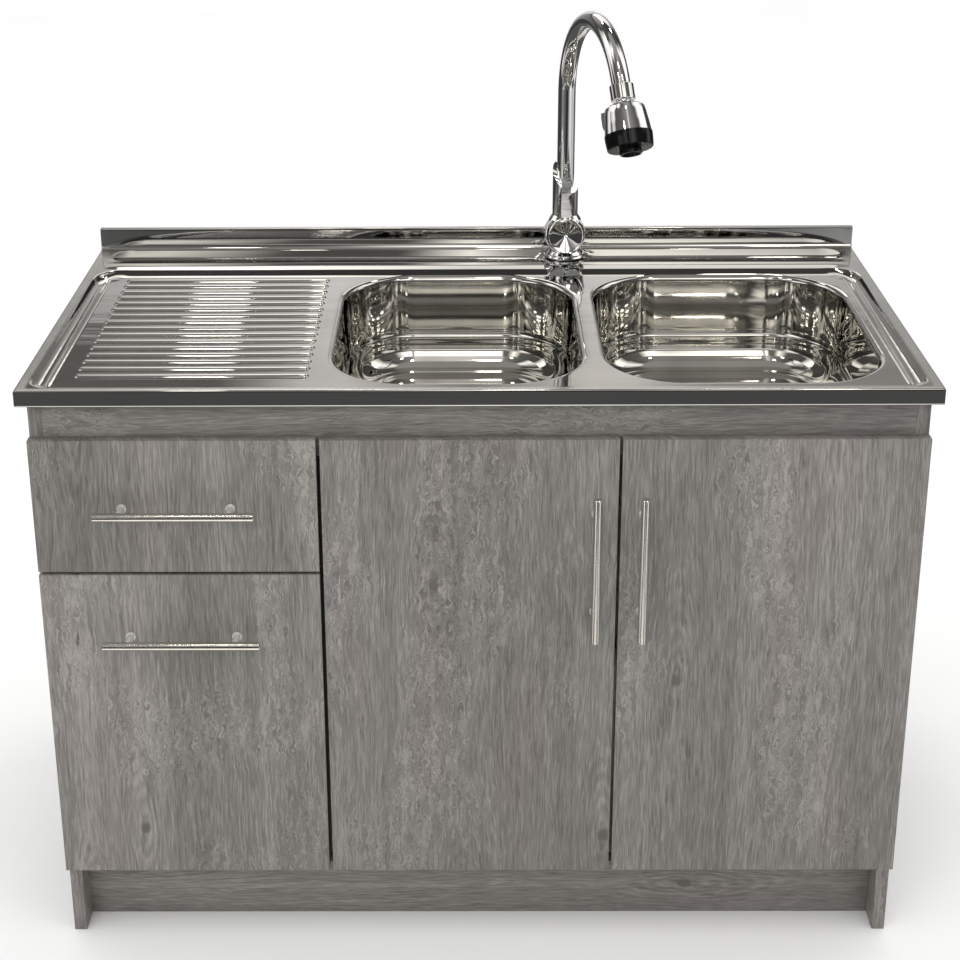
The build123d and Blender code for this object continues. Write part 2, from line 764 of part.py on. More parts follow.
def hinge_cups(name, hinge):
    # cup let into the door, with the pin across it and the flange on the door's back
    with BuildPart() as cups:
        for z in hinge_heights:
            centre = (hinge_x(hinge, cup_u), face_y + cup_floor, z)
            rod(centre, (0, 1, 0), cup_r, front_t - cup_floor)
            hinge_block(hinge, (7, 34), (front_t, front_t + 1), (z - 26, z + 26))
            rod(along(centre, (0, 1, 0), 0.8), (0, 1, 0), cup_r - 0.8, 40, Mode.SUBTRACT)
            for low, high in ((z - 8, z - 3.8), (z + 3.8, z + 8)):
                hinge_block(hinge, (5, 9), (cup_floor + 0.4, 9), (low, high))
            rod((hinge_x(hinge, pin_u), face_y + pin_w, z - 8), (0, 0, 1), pin_r, 16)
    save(cups, name)


def hinge_arms():
    with BuildPart() as arms:
        for hinge in (left_hinge, right_hinge):
            for z in hinge_heights:
                pin = (hinge_x(hinge, pin_u), face_y + pin_w, z - 3.4)
                rod(pin, (0, 0, 1), 2.3, 6.8)
                hinge_block(hinge, (pin_u, 31), (pin_w - 1, pin_w + 1), (z - 3.4, z + 3.4))
                hinge_block(hinge, (29, 31), (pin_w - 1, 24), (z - 3.4, z + 3.4))
                hinge_block(hinge, (29, 31), (22, 80), (z - 8, z + 8))
                rod(pin, (0, 0, 1), pin_r + fit_gap, 20, Mode.SUBTRACT)
    save(arms, "hinge_arms")


def hinge_plates():
    with BuildPart() as plates:
        for z in hinge_heights:
            hinge_block(right_hinge, (side_t, 29), (35, 75), (z - 16, z + 16))
            hinge_block(left_hinge, (divider_right - left_door_x[0], 29), (35, 75), (z - 16, z + 16))
    save(plates, "hinge_plates")


if __name__ == "__main__":
    sink_top()
    bowl("left_bowl", left_bowl_x, left_bowl_size)
    bowl("right_bowl", right_bowl_x, right_bowl_size)
    drain_flanges()
    drain_basket("left_basket", *bowl_centres[0])
    drain_basket("right_basket", *bowl_centres[1])
    drain_gaskets()
    drain_locknuts()
    tap_gasket()
    tap_base_flange()
    tap_body()
    cartridge()
    lever_carrier()
    lever()
    spout_sleeve()
    spout_tube()
    collar_nut()
    swivel_ball()
    spray_bell()
    spray_toggle()
    spray_ring()
    spray_face()
    tap_shank()
    tap_locknut()
    inlet_tails()
    side_panel("left_side_panel", -1)
    side_panel("right_side_panel", 1)
    divider_panel()
    cross_board("bottom_panel", (carcass_y, carcass_back_y), (bottom_z, bottom_z + board_t))
    cross_board("top_front_rail", (carcass_y, carcass_y + board_t), (carcass_z - rail_h, carcass_z))
    cross_board("top_rear_rail", (carcass_back_y - board_t, carcass_back_y),
                (carcass_z - rear_rail_h, carcass_z))
    cross_board("toe_kick", (from_edge(toe_setback), from_edge(toe_setback) + board_t), (0, bottom_z))
    back_panel()
    carcass_screws()
    top_clips()
    front_panel("top_drawer_front", left_column, (drawer_split[1], fronts_high))
    front_panel("bottom_drawer_front", left_column, (fronts_low, drawer_split[0]))
    bar_handle("top_drawer", drawer_bar_x, upper_bar_z, False)
    bar_handle("bottom_drawer", drawer_bar_x, lower_bar_z, False)
    bar_handle("left_door", left_bar_x, door_bar_z, True)
    bar_handle("right_door", right_bar_x, door_bar_z, True)
    drawer_box("top_drawer", upper_box)
    drawer_box("bottom_drawer", lower_box)
    runner_cabinet_members()
    drawer_runners("top_drawer", upper_runner_z)
    drawer_runners("bottom_drawer", lower_runner_z)
    door_panel("left_door_panel", left_door_x, left_hinge)
    door_panel("right_door_panel", right_door_x, right_hinge)
    hinge_cups("left_hinge_cups", left_hinge)
    hinge_cups("right_hinge_cups", right_hinge)
    hinge_arms()
    hinge_plates()
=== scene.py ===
import json
import math
import bmesh
import bpy
from mathutils import Matrix, Vector


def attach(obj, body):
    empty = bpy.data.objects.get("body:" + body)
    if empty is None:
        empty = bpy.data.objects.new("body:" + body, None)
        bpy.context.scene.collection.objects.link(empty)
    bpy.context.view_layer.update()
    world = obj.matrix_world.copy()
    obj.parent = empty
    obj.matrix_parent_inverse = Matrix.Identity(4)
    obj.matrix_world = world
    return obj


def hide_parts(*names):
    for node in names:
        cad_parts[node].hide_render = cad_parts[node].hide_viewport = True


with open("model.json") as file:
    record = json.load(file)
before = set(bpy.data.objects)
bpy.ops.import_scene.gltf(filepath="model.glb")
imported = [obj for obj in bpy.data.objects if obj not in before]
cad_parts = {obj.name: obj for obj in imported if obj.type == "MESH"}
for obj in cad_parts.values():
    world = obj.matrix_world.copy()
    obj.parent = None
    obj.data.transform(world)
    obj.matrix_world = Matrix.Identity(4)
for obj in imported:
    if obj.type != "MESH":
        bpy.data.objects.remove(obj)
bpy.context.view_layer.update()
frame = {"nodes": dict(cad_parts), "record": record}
mm = 0.001
slotOf = {part["node"]: part["material_slot"] for part in frame["record"]["subparts"]}
bodyOf = {node: body for body, nodes in frame["record"]["behaviour"]["bodies"].items() for node in nodes}
print("frame loaded:", len(slotOf), "nodes")


class Wire:
    # a socket of a shader tree that can be used in sums
    def __init__(self, tree, socket=None):
        self.tree = tree
        self.socket = socket

    def node(self, kind, settings=None, inputs=None, output=0):
        made = self.tree.nodes.new(kind)
        for key, value in (settings or {}).items():
            if key == "stops":
                elements = made.color_ramp.elements
                while len(elements) < len(value):
                    elements.new(1.0)
                for element, (place, shade) in zip(elements, value):
                    element.position = place
                    element.color = (*shade, 1.0) if len(shade) == 3 else shade
            else:
                setattr(made, key, value)
        for key, value in (inputs or {}).items():
            if isinstance(value, Wire):
                self.tree.links.new(value.socket, made.inputs[key])
            else:
                made.inputs[key].default_value = value
        return Wire(self.tree, made.outputs[output])

    def sum(self, operation, *terms):
        return self.node("ShaderNodeMath", {"operation": operation}, dict(enumerate(terms)))

    def __add__(self, other):
        return self.sum("ADD", self, other)

    def __sub__(self, other):
        return self.sum("SUBTRACT", self, other)

    def __rsub__(self, other):
        return self.sum("SUBTRACT", other, self)

    def __mul__(self, other):
        return self.sum("MULTIPLY", self, other)

    def __truediv__(self, other):
        return self.sum("DIVIDE", self, other)

    __radd__ = __add__
    __rmul__ = __mul__

    def size(self):
        return self.sum("ABSOLUTE", self)

    def clamp(self):
        return self.node("ShaderNodeClamp", {}, {"Value": self})

    def step(self, low, high):
        # 0 below low, 1 above high, smooth between
        return self.node("ShaderNodeMapRange", {"interpolation_type": "SMOOTHSTEP"},
                         {"Value": self, "From Min": low, "From Max": high})

    def part(self, axis):
        return self.node("ShaderNodeSeparateXYZ", {}, {"Vector": self}, axis)

    def vector(self, operation, other, output=0):
        return self.node("ShaderNodeVectorMath", {"operation": operation}, {0: self, 1: other}, output)

    def noise(self, scale, detail=2.0, roughness=0.5, distortion=0.0):
        # scale is one number, or one for each axis
        where, size = self, scale
        if isinstance(scale, tuple):
            where, size = self.vector("MULTIPLY", scale), 1.0
        return self.node("ShaderNodeTexNoise", {}, {"Vector": where, "Scale": size, "Detail": detail,
                                                    "Roughness": roughness, "Distortion": distortion})

    def ramp(self, *stops):
        return self.node("ShaderNodeValToRGB", {"stops": stops}, {"Fac": self})

    def mix(self, first, second, blend="MIX"):
        # colours: first where this is 0, second where it is 1
        pair = {6: first, 7: second}
        pair = {key: value if isinstance(value, Wire) else (*value, 1.0) for key, value in pair.items()}
        return self.node("ShaderNodeMix", {"data_type": "RGBA", "blend_type": blend}, {0: self, **pair}, 2)

    def bump(self, height, distance, strength=1.0):
        return height.node("ShaderNodeBump", {},
                           {"Height": height, "Distance": distance, "Strength": strength})


def newFinish(name, paint, **fixed):
    # paint gets the object coordinates and gives the sockets that vary; fixed are the shader's own values
    finish = bpy.data.materials.new(name)
    finish.use_nodes = True
    tree = finish.node_tree
    tree.nodes.clear()
    start = Wire(tree)
    place = start.node("ShaderNodeTexCoord", {}, {}, "Object")
    inputs = {key.replace("_", " "): value for key, value in fixed.items()}
    inputs.update(paint(place))
    shader = start.node("ShaderNodeBsdfPrincipled", {}, inputs)
    output = tree.nodes.new("ShaderNodeOutputMaterial")
    tree.links.new(shader.socket, output.inputs["Surface"])
    return finish


# grey oak print on the fronts and side panels
oak = {
    "dark": (0.110, 0.103, 0.094),
    "middle": (0.181, 0.172, 0.161),
    "light": (0.300, 0.288, 0.270),
    "knotSpacing": (4.6, 4.6, 3.0),
    "knotShare": 0.55,
    "planks": 6.5,
}


def oakFinish(name, shift, turn=(0, 0, 0)):
    def paint(place):
        # the grain runs up a front; turn brings it onto a rail or a side panel
        if any(turn):
            place = place.node("ShaderNodeMapping", {}, {"Vector": place, "Rotation": turn})
        place = place.vector("ADD", shift)
        sway = place.noise((6.0, 6.0, 1.6), 3.0) - 0.5
        burr = place.noise((8.0, 8.0, 4.0), 1.0).step(0.46, 0.62)
        ripple = (place.noise((120.0, 120.0, 70.0), 2.0) - 0.5) * (burr * 0.017 + 0.002)

        # knots push the grain aside
        cell = place.vector("MULTIPLY", oak["knotSpacing"])
        voronoi = "ShaderNodeTexVoronoi"
        away = cell.vector("SUBTRACT", cell.node(voronoi, {}, {"Vector": cell, "Scale": 1.0}, "Position"))
        luck = cell.node(voronoi, {}, {"Vector": cell, "Scale": 1.0}, "Color").part(0)
        present = luck.step(oak["knotShare"], oak["knotShare"] + 0.02)

        def reach(upright):
            flat = away.vector("MULTIPLY", (1.0, 0.0, upright))
            length = flat.node("ShaderNodeVectorMath", {"operation": "LENGTH"}, {0: flat}, "Value")
            return length + ripple * 2.5

        eye = reach(0.34)
        pull = (1.0 - eye.step(0.01, 0.26)) * present
        core = (1.0 - reach(1.1).step(0.012, 0.044)) * present
        acrossGrain = place.part(0) + place.part(1) * 0.6 + sway * 0.045 - away.part(0) * pull * 0.16
        alongGrain = place.part(2)

        def grain(wide, high, detail=2.0, curl=0.25):
            spot = place.node("ShaderNodeCombineXYZ", {}, {0: (acrossGrain + ripple * curl) * wide,
                                                          1: place.part(1) * 30.0,
                                                          2: (alongGrain + ripple * curl * 0.7) * high})
            return spot.noise(1.0, detail, 0.55)

        def threads(field, width):
            return 1.0 - (field - 0.5).size().step(0.0, width)

        plankEdge = (place.part(0) + place.part(1)) * oak["planks"]
        plank = plankEdge.node(voronoi, {"voronoi_dimensions": "1D"}, {"W": plankEdge, "Scale": 1.0}, "Color")
        plank = plank.part(0)
        bands = grain(14.0, 0.9) - 0.5
        streaks = grain(60.0, 2.4) - 0.5
        fibres = grain(520.0, 26.0, 2.0, 1.0) - 0.5
        pale = threads(grain(250.0, 16.0, 2.0, 1.6), 0.11)
        dark = threads(grain(120.0, 5.0, 2.0, 1.2), 0.040)
        pores = grain(620.0, 46.0, 1.0).step(0.64, 0.76)
        ovals = place.sum("SINE", eye * 230.0 + streaks * 4.0) * pull * 0.10

        tone = (plank - 0.5) * 0.20 + bands * 0.60 + streaks * 0.42 + fibres * 1.0 + ovals + 0.43
        tone = tone + pale * (burr * 0.16 + 0.22) - dark * 0.15 - pores * 0.30 - core * 0.60 - pull * 0.06
        colour = tone.clamp().ramp((0.05, oak["dark"]), (0.48, oak["middle"]), (0.97, oak["light"]))
        tint = place.noise((9.0, 9.0, 2.0), 1.0).ramp((0.35, (1.025, 0.99, 1.0)), (0.65, (0.98, 1.01, 0.975)))
        colour = tint.node("ShaderNodeMix", {"data_type": "RGBA", "blend_type": "MULTIPLY"},
                           {0: 1.0, 6: colour, 7: tint}, 2)
        relief = pale * 0.5 + fibres * 0.8 - dark * 0.6 - pores - core
        return {"Base Color": colour, "Roughness": 0.50 + streaks * 0.20,
                "Normal": place.bump(relief, 0.0004, 0.40)}
    return newFinish(name, paint, Specular_IOR_Level=0.30)


def boardPaint(place):
    # pale board whose front edges are painted near black: painted shade, so the gaps between the fronts look
    # dark
    speck = place.noise(900.0, 2.0)
    cloud = place.noise(7.0, 2.0)
    pale = (cloud * 0.6 + speck * 0.4).ramp((0.3, (0.66, 0.65, 0.62)), (0.7, (0.76, 0.75, 0.72)))
    # painted shade: the boards' front edges stand for the shade seen in the gaps between the fronts
    gapShade = 1.0 - place.part(1).step(-0.2708, -0.2704)
    return {"Base Color": gapShade.mix(pale, (0.014, 0.014, 0.014)), "Roughness": 0.46 + speck * 0.12,
            "Normal": place.bump(speck, 0.0002, 0.3)}


def deckPaint(place):
    # fine brushing from side to side; the flat border is satin, the pressed middle and the lip are polished
    brushing = place.noise((9.0, 700.0, 700.0), 3.0, 0.6)
    drift = place.noise((4.0, 16.0, 16.0), 2.0)
    border = place.part(0).size().step(0.582, 0.590) + (1.0 - place.part(1).step(-0.2900, -0.2840))
    lip = 1.0 - place.part(1).step(-0.2954, -0.2946)
    roughness = 0.022 + (border.clamp() - lip).clamp() * 0.13 + brushing * 0.015 + drift * 0.025
    colour = (drift * 0.6 + brushing * 0.4).ramp((0.3, (0.51, 0.51, 0.50)), (0.7, (0.61, 0.61, 0.595)))
    warp = place.noise((4.0, 22.0, 22.0), 2.0)
    return {"Base Color": colour, "Roughness": roughness,
            "Normal": place.bump(warp + brushing * 0.02, 0.0010, 0.24)}


def bowlPaint(place):
    # drawn walls: faint upright pulls under a mirror polish
    pulls = place.noise((34.0, 34.0, 0.4), 1.0)
    waves = place.noise((14.0, 14.0, 3.0), 1.0)
    fine = place.noise(700.0, 2.0)
    colour = waves.ramp((0.3, (0.56, 0.555, 0.53)), (0.7, (0.68, 0.67, 0.635)))
    return {"Base Color": colour, "Roughness": 0.025 + waves * 0.03 + fine * 0.008,
            "Normal": place.bump(pulls * 0.24 + waves * 0.05, 0.0012, 0.07)}


def plainSteelPaint(place):
    fine = place.noise((300.0, 300.0, 300.0), 2.0)
    drift = place.noise(30.0, 2.0)
    colour = drift.ramp((0.3, (0.54, 0.54, 0.53)), (0.7, (0.62, 0.62, 0.60)))
    return {"Base Color": colour, "Roughness": 0.17 + drift * 0.10 + fine * 0.04,
            "Normal": place.bump(fine, 0.00005, 0.4)}


def chromePaint(place):
    smear = place.noise(38.0, 3.0)
    wave = place.noise(22.0, 1.0)
    colour = smear.ramp((0.3, (0.77, 0.775, 0.785)), (0.7, (0.82, 0.825, 0.83)))
    return {"Base Color": colour, "Roughness": 0.025 + smear.step(0.45, 0.8) * 0.06,
            "Normal": place.bump(wave, 0.0006, 0.12)}


def blackPaint(place):
    dust = place.noise(400.0, 2.0)
    smear = place.noise(45.0, 2.0)
    colour = dust.ramp((0.4, (0.003, 0.003, 0.0035)), (0.8, (0.007, 0.007, 0.0075)))
    return {"Base Color": colour, "Roughness": 0.07 + smear * 0.10, "Normal": place.bump(dust, 0.00004, 0.3)}


def satinPaint(lengthwise):
    # the bars are brushed round their length, which draws each highlight out along it
    def paint(place):
        scratch = place.noise(tuple(6.0 if axis == lengthwise else 900.0 for axis in range(3)), 2.0)
        drift = place.noise(28.0, 2.0)
        colour = drift.ramp((0.3, (0.66, 0.645, 0.61)), (0.7, (0.74, 0.725, 0.69)))
        return {"Base Color": colour, "Roughness": 0.13 + drift * 0.06,
                "Normal": place.bump(scratch, 0.00005, 0.3)}
    return paint


def postPaint(place):
    scratch = place.noise((900.0, 6.0, 900.0), 2.0)
    drift = place.noise(60.0, 2.0)
    colour = drift.ramp((0.3, (0.62, 0.61, 0.58)), (0.7, (0.74, 0.73, 0.70)))
    return {"Base Color": colour, "Roughness": 0.20 + drift * 0.10,
            "Normal": place.bump(scratch, 0.00005, 0.3)}


def zincPaint(place):
    cell = place.node("ShaderNodeTexVoronoi", {"feature": "F1"}, {"Vector": place, "Scale": 170.0}, "Color")
    cell = cell.part(0)
    grime = place.noise(24.0, 3.0)
    colour = (cell * 0.5 + grime * 0.5).ramp((0.25, (0.43, 0.44, 0.46)), (0.8, (0.60, 0.61, 0.63)))
    return {"Base Color": colour, "Roughness": 0.26 + cell * 0.12 + grime * 0.08,
            "Normal": place.bump(grime, 0.0003, 0.3)}


def rubberPaint(place):
    grit = place.noise(800.0, 2.0)
    colour = grit.ramp((0.3, (0.018, 0.018, 0.018)), (0.8, (0.040, 0.040, 0.040)))
    return {"Base Color": colour, "Roughness": 0.55 + grit * 0.2, "Normal": place.bump(grit, 0.0001, 0.4)}


def plasticPaint(place):
    grit = place.noise(600.0, 2.0)
    cloud = place.noise(20.0, 2.0)
    colour = cloud.ramp((0.3, (0.74, 0.74, 0.72)), (0.7, (0.82, 0.82, 0.80)))
    return {"Base Color": colour, "Roughness": 0.34 + grit * 0.12, "Normal": place.bump(grit, 0.0001, 0.3)}


def brassPaint(place):
    turning = place.noise((160.0, 160.0, 2400.0), 1.0)
    stain = place.noise(50.0, 3.0)
    colour = stain.ramp((0.3, (0.52, 0.38, 0.15)), (0.7, (0.72, 0.56, 0.26)))
    return {"Base Color": colour, "Roughness": 0.20 + stain * 0.16,
            "Normal": place.bump(turning, 0.0001, 0.4)}


finishes = {
    "pale_board": newFinish("paleBoard", boardPaint),
    "sink_steel": newFinish("plainSteel", plainSteelPaint, Metallic=1.0),
    "chrome": newFinish("chromePlate", chromePaint, Metallic=1.0),
    "black_gloss": newFinish("blackGloss", blackPaint, Specular_IOR_Level=0.25),
    "handle_steel": newFinish("satinBar", satinPaint(2), Metallic=1.0),
    "zinc_steel": newFinish("zincSteel", zincPaint, Metallic=1.0),
    "seal_rubber": newFinish("sealRubber", rubberPaint),
    "white_plastic": newFinish("whitePlastic", plasticPaint),
    "brass": newFinish("turnedBrass", brassPaint, Metallic=1.0),
}
deckFinish = newFinish("pressedDeck", deckPaint, Metallic=1.0)
levelBarFinish = newFinish("satinLevelBar", satinPaint(0), Metallic=1.0)
postFinish = newFinish("satinPost", postPaint, Metallic=0.5)
bowlFinish = newFinish("polishedBowl", bowlPaint, Metallic=1.0)
oakShifts = {
    "left_side_panel": (0.31, 4.0, 0.2),
    "right_side_panel": (0.83, 5.1, 0.5),
    "top_front_rail": (1.9, 2.3, 0.1),
    "toe_kick": (2.7, 0.4, 0.9),
    "top_drawer_front": (3.3, 1.1, 1.7),
    "bottom_drawer_front": (4.6, 2.9, 2.2),
    "left_door_panel": (5.2, 3.7, 3.1),
    "right_door_panel": (6.4, 4.3, 1.4),
}
oakTurns = {
    "top_front_rail": (0, math.pi / 2, 0),
    "toe_kick": (0, math.pi / 2, 0),
    "left_side_panel": (0, 0, math.pi / 2),
    "right_side_panel": (0, 0, math.pi / 2),
}
oakFinishes = {node: oakFinish("oak_" + node, shift, oakTurns.get(node, (0, 0, 0)))
               for node, shift in oakShifts.items()}
print("finishes made")


def addPiece(name, bm, finish, node, angle=35.0):
    # turns a bmesh into a piece that stands for a node and moves with its body
    for edge in bm.edges:
        edge.smooth = len(edge.link_faces) < 2 or edge.calc_face_angle(0.0) < math.radians(angle)
    for face in bm.faces:
        face.smooth = True
    mesh = bpy.data.meshes.new(name)
    bm.to_mesh(mesh)
    bm.free()
    piece = bpy.data.objects.new(name, mesh)
    bpy.context.scene.collection.objects.link(piece)
    piece.data.materials.append(finish)
    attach(piece, bodyOf[node])
    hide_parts(node)
    return piece


def mergedCopy(node):
    # the node's triangles joined at their corners
    bm = bmesh.new()
    bm.from_mesh(frame["nodes"][node].data)
    bmesh.ops.remove_doubles(bm, verts=bm.verts, dist=0.004 * mm)
    return bm


def easedBoard(node, width=0.6 * mm):
    # a board with its edges eased
    bm = mergedCopy(node)
    bmesh.ops.dissolve_limit(bm, angle_limit=math.radians(1.0), verts=bm.verts, edges=bm.edges)
    sharp = [edge for edge in bm.edges if edge.calc_face_angle(0.0) > math.radians(60.0)
             and edge.calc_length() > 10 * mm]
    bmesh.ops.bevel(bm, geom=sharp, offset=width, offset_type="OFFSET", affect="EDGES", segments=2,
                    profile=0.5, material=-1, clamp_overlap=True)
    return bm


def softLow(a, b, blend):
    # the lower of two heights, rounded where they meet
    lap = max(blend - abs(a - b), 0.0)
    return min(a, b) - lap * lap / (4 * blend)


def softHigh(a, b, blend):
    return -softLow(-a, -b, blend)


def ease(value, low, high):
    t = min(max((value - low) / (high - low), 0.0), 1.0)
    return t * t * (3 - 2 * t)


# the steel top is pressed from one sheet; sizes in mm, y counted back from its front edge
deck = {
    "halfWidth": 600.0,
    "frontY": -296.0,       # of the front edge, in the frame
    "rimZ": 857.0,
    "lip": 23.0,
    "edgeRound": 2.0,
    "backY": 610.0,         # front face of the upstand
    "upstandTop": 891.0,
    "upstandThick": 10.0,
    "upstandRound": 1.3,
    "cove": 6.0,
    "sheet": 0.8,
}
tray = {
    "halfX": 584.0,
    "yRange": (11.5, 507.0),
    "frontCorner": 27.0,
    "rearCorner": 48.0,
    "drop": 6.0,
    "slope": (9.0, 22.0),   # at the front and at the rear
    "gutterHalf": 12.0,
    "gutterDrop": 9.0,
    "gutterReach": 1.6,     # in half widths
    "beadAt": 22.5,
    "beadHigh": 0.8,
    "beadHalf": 1.5,
}
trough = {"halfX": 545.0, "y": 576.0, "half": 30.0, "drop": 4.0, "seat": (139.0, 570.0), "seatR": 34.0,
          "seatBlend": 4.0}
ridge = {"yRange": (505.0, 547.0), "crown": 0.8, "run": 16.0, "clearOfTray": 6.0, "fadeX": (545.0, 590.0)}
ribs = {"count": 16, "xRange": (-527.5, -230.5), "yRange": (66.0, 465.0), "half": 7.0, "high": 3.0,
        "skirt": 1.0, "endRun": 40.0, "sunk": 0.12}
deckCells = {"fine": 1.5, "wide": 6.5, "middle": 3.0, "cove": 0.7, "bandX": 556.0,
             "rowEnds": (24.0, 480.0, 510.0, 540.0, 552.0, 600.0)}
bowls = {
    "left_bowl": {"x": -28.0, "y": 262.5, "size": (352.0, 456.0)},
    "right_bowl": {"x": 359.0, "y": 262.5, "size": (386.0, 455.0)},
}
bowlForm = {"corner": 111.0, "collar": 8.0, "collarDrop": 9.0, "depth": 146.0, "draft": 3.0, "floorR": 40.0,
            "creaseZ": 757.0, "wasteR": 45.0, "floorFall": 2.5,
            "flute": 0.045, "fluteTurns": 28, "ringStep": 12.0, "straightSteps": 10, "cornerSteps": 44,
            "filletSteps": 12, "floorSteps": 6}


def toFrame(x, y, z):
    return Vector((x * mm, (y + deck["frontY"]) * mm, z * mm))


def toDeck(co):
    return co.x / mm, co.y / mm - deck["frontY"]


def trayInside(x, y):
    # how far a point lies inside the tray's outline, and how much that outline faces sideways there
    middleY = sum(tray["yRange"]) / 2
    radius = tray["frontCorner"] if y < middleY else tray["rearCorner"]
    dx = abs(x) - tray["halfX"] + radius
    dy = abs(y - middleY) - (tray["yRange"][1] - middleY) + radius
    if dx > 0 and dy > 0:
        reach = math.hypot(dx, dy)
        return radius - reach, (dx / reach) ** 2
    return radius - max(dx, dy), 1.0 if dx > dy else 0.0


def deckHeight(x, y):
    inside, sideways = trayInside(x, y)
    wide = tray["slope"][0 if y < sum(tray["yRange"]) / 2 else 1]
    slope = softLow(softHigh(inside * tray["drop"] / wide, 0.0, 0.8), tray["drop"], 0.8)
    across = abs(inside / tray["gutterHalf"] - 1.0)
    gutter = tray["gutterDrop"] * (1.0 - across ** 3 if across < tray["gutterReach"] else -1.0)
    level = 0.0 if inside < tray["gutterHalf"] else tray["drop"]
    gutter = softHigh(gutter, level, 0.6)
    bead = tray["beadHigh"] * math.exp(-((inside - tray["beadAt"]) / tray["beadHalf"]) ** 2)
    height = -(slope * (1 - sideways) + (gutter - bead) * sideways)
    low, high = ridge["yRange"]
    height += ridge["crown"] * ease(y, low, low + ridge["run"]) * (1 - ease(y, high - ridge["run"], high)) * \
        ease(-inside, 0.0, ridge["clearOfTray"]) * (1 - ease(abs(x), *ridge["fadeX"]))
    off = math.hypot(max(abs(x) - trough["halfX"], 0.0), y - trough["y"])
    curve = (trough["half"] ** 2 + trough["drop"] ** 2) / (2 * trough["drop"])
    if off < trough["half"] * 1.3:
        sunk = math.sqrt(curve ** 2 - off ** 2) - (curve - trough["drop"])
        fromTap = math.dist((x, y), trough["seat"])
        seat = 1 - ease(fromTap, trough["seatR"], trough["seatR"] + trough["seatBlend"])
        height -= softHigh(sunk, 0.0, 0.5) * (1 - seat)
    rise = y - (deck["backY"] - deck["cove"])
    if rise > 0:
        height += deck["cove"] - math.sqrt(max(deck["cove"] ** 2 - rise ** 2, 0.0))
    return deck["rimZ"] + height


def openingSide(bowl, x, y, inset=0.0):
    # signed distance outside a bowl's outline, and the direction outwards
    radius = bowlForm["corner"] - inset
    dx = abs(x - bowl["x"]) - bowl["size"][0] / 2 + inset + radius
    dy = abs(y - bowl["y"]) - bowl["size"][1] / 2 + inset + radius
    if dx > 0 and dy > 0:
        reach = math.hypot(dx, dy)
        far, nx, ny = reach - radius, dx / reach, dy / reach
    else:
        far = max(dx, dy) - radius
        nx, ny = (1.0, 0.0) if dx > dy else (0.0, 1.0)
    return far, math.copysign(nx, x - bowl["x"]), math.copysign(ny, y - bowl["y"])


def lines(*runs):
    # grid lines: each run is (start, end, largest step)
    made = []
    for start, end, step in runs:
        count = max(1, math.ceil((end - start) / step - 1e-6))
        made += [start + (end - start) * i / count for i in range(count)]
    return made + [runs[-1][1]]


def deckGrid():
    # cells are small where the sheet bends
    half = deck["halfWidth"] - deck["edgeRound"]
    fine, wide, middle, band = (deckCells[key] for key in ("fine", "wide", "middle", "bandX"))
    columns = lines((-half, -band, fine), (-band, band, wide), (band, half, fine))
    ends = (deck["edgeRound"], *deckCells["rowEnds"], deck["backY"] + 0.3)
    rows = lines(*zip(ends, ends[1:], (fine, wide, fine, middle, fine, middle, deckCells["cove"])))
    bm = bmesh.new()
    bmesh.ops.create_grid(bm, x_segments=len(columns) - 1, y_segments=len(rows) - 1, size=1.0)
    for vert in bm.verts:
        column = round((vert.co.x + 1) / 2 * (len(columns) - 1))
        row = round((vert.co.y + 1) / 2 * (len(rows) - 1))
        vert.co = toFrame(columns[column], rows[row], 0)
    return bm


def cutOpening(bm, bowl):
    # moves the grid's nearest corners onto the outline, then takes out what lies inside it
    far = {vert: openingSide(bowl, *toDeck(vert.co))[0] for vert in bm.verts}
    onLine = set()
    for edge in bm.edges:
        a, b = edge.verts
        if far[a] * far[b] < 0:
            onLine.add(a if abs(far[a]) < abs(far[b]) else b)
    for vert in onLine:
        x, y = toDeck(vert.co)
        distance, nx, ny = openingSide(bowl, x, y)
        vert.co = toFrame(x - nx * distance, y - ny * distance, 0)
        far[vert] = 0.0
    bmesh.ops.connect_verts(bm, verts=list(onLine))
    inside = [face for face in bm.faces if sum(far[vert] for vert in face.verts) < -1e-3]
    bmesh.ops.delete(bm, geom=inside, context="FACES")
    return [edge for edge in bm.edges if edge.is_boundary and all(vert in onLine for vert in edge.verts)]


def turnDown(bm, edges, bowl):
    # rolls the sheet over into the bowl
    steps = (5, 13, 22, 32, 43, 54, 66, 78, 90)
    collar = bowlForm["collar"]
    trayZ = deck["rimZ"] - tray["drop"]
    rounds = [(collar * math.sin(math.radians(s)), collar * (1 - math.cos(math.radians(s)))) for s in steps]
    rounds.append((collar, bowlForm["collarDrop"]))
    done = 0.0
    for inset, drop in rounds:
        made = bmesh.ops.extrude_edge_only(bm, edges=edges)["geom"]
        edges = [item for item in made if isinstance(item, bmesh.types.BMEdge)]
        for vert in [item for item in made if isinstance(item, bmesh.types.BMVert)]:
            x, y = toDeck(vert.co)
            nx, ny = openingSide(bowl, x, y)[1:]
            above = deckHeight(x + nx * done, y + ny * done) - trayZ
            vert.co = toFrame(x - nx * (inset - done), y - ny * (inset - done),
                              trayZ - drop + above * (1 - inset / collar) ** 1.6)
        done = inset


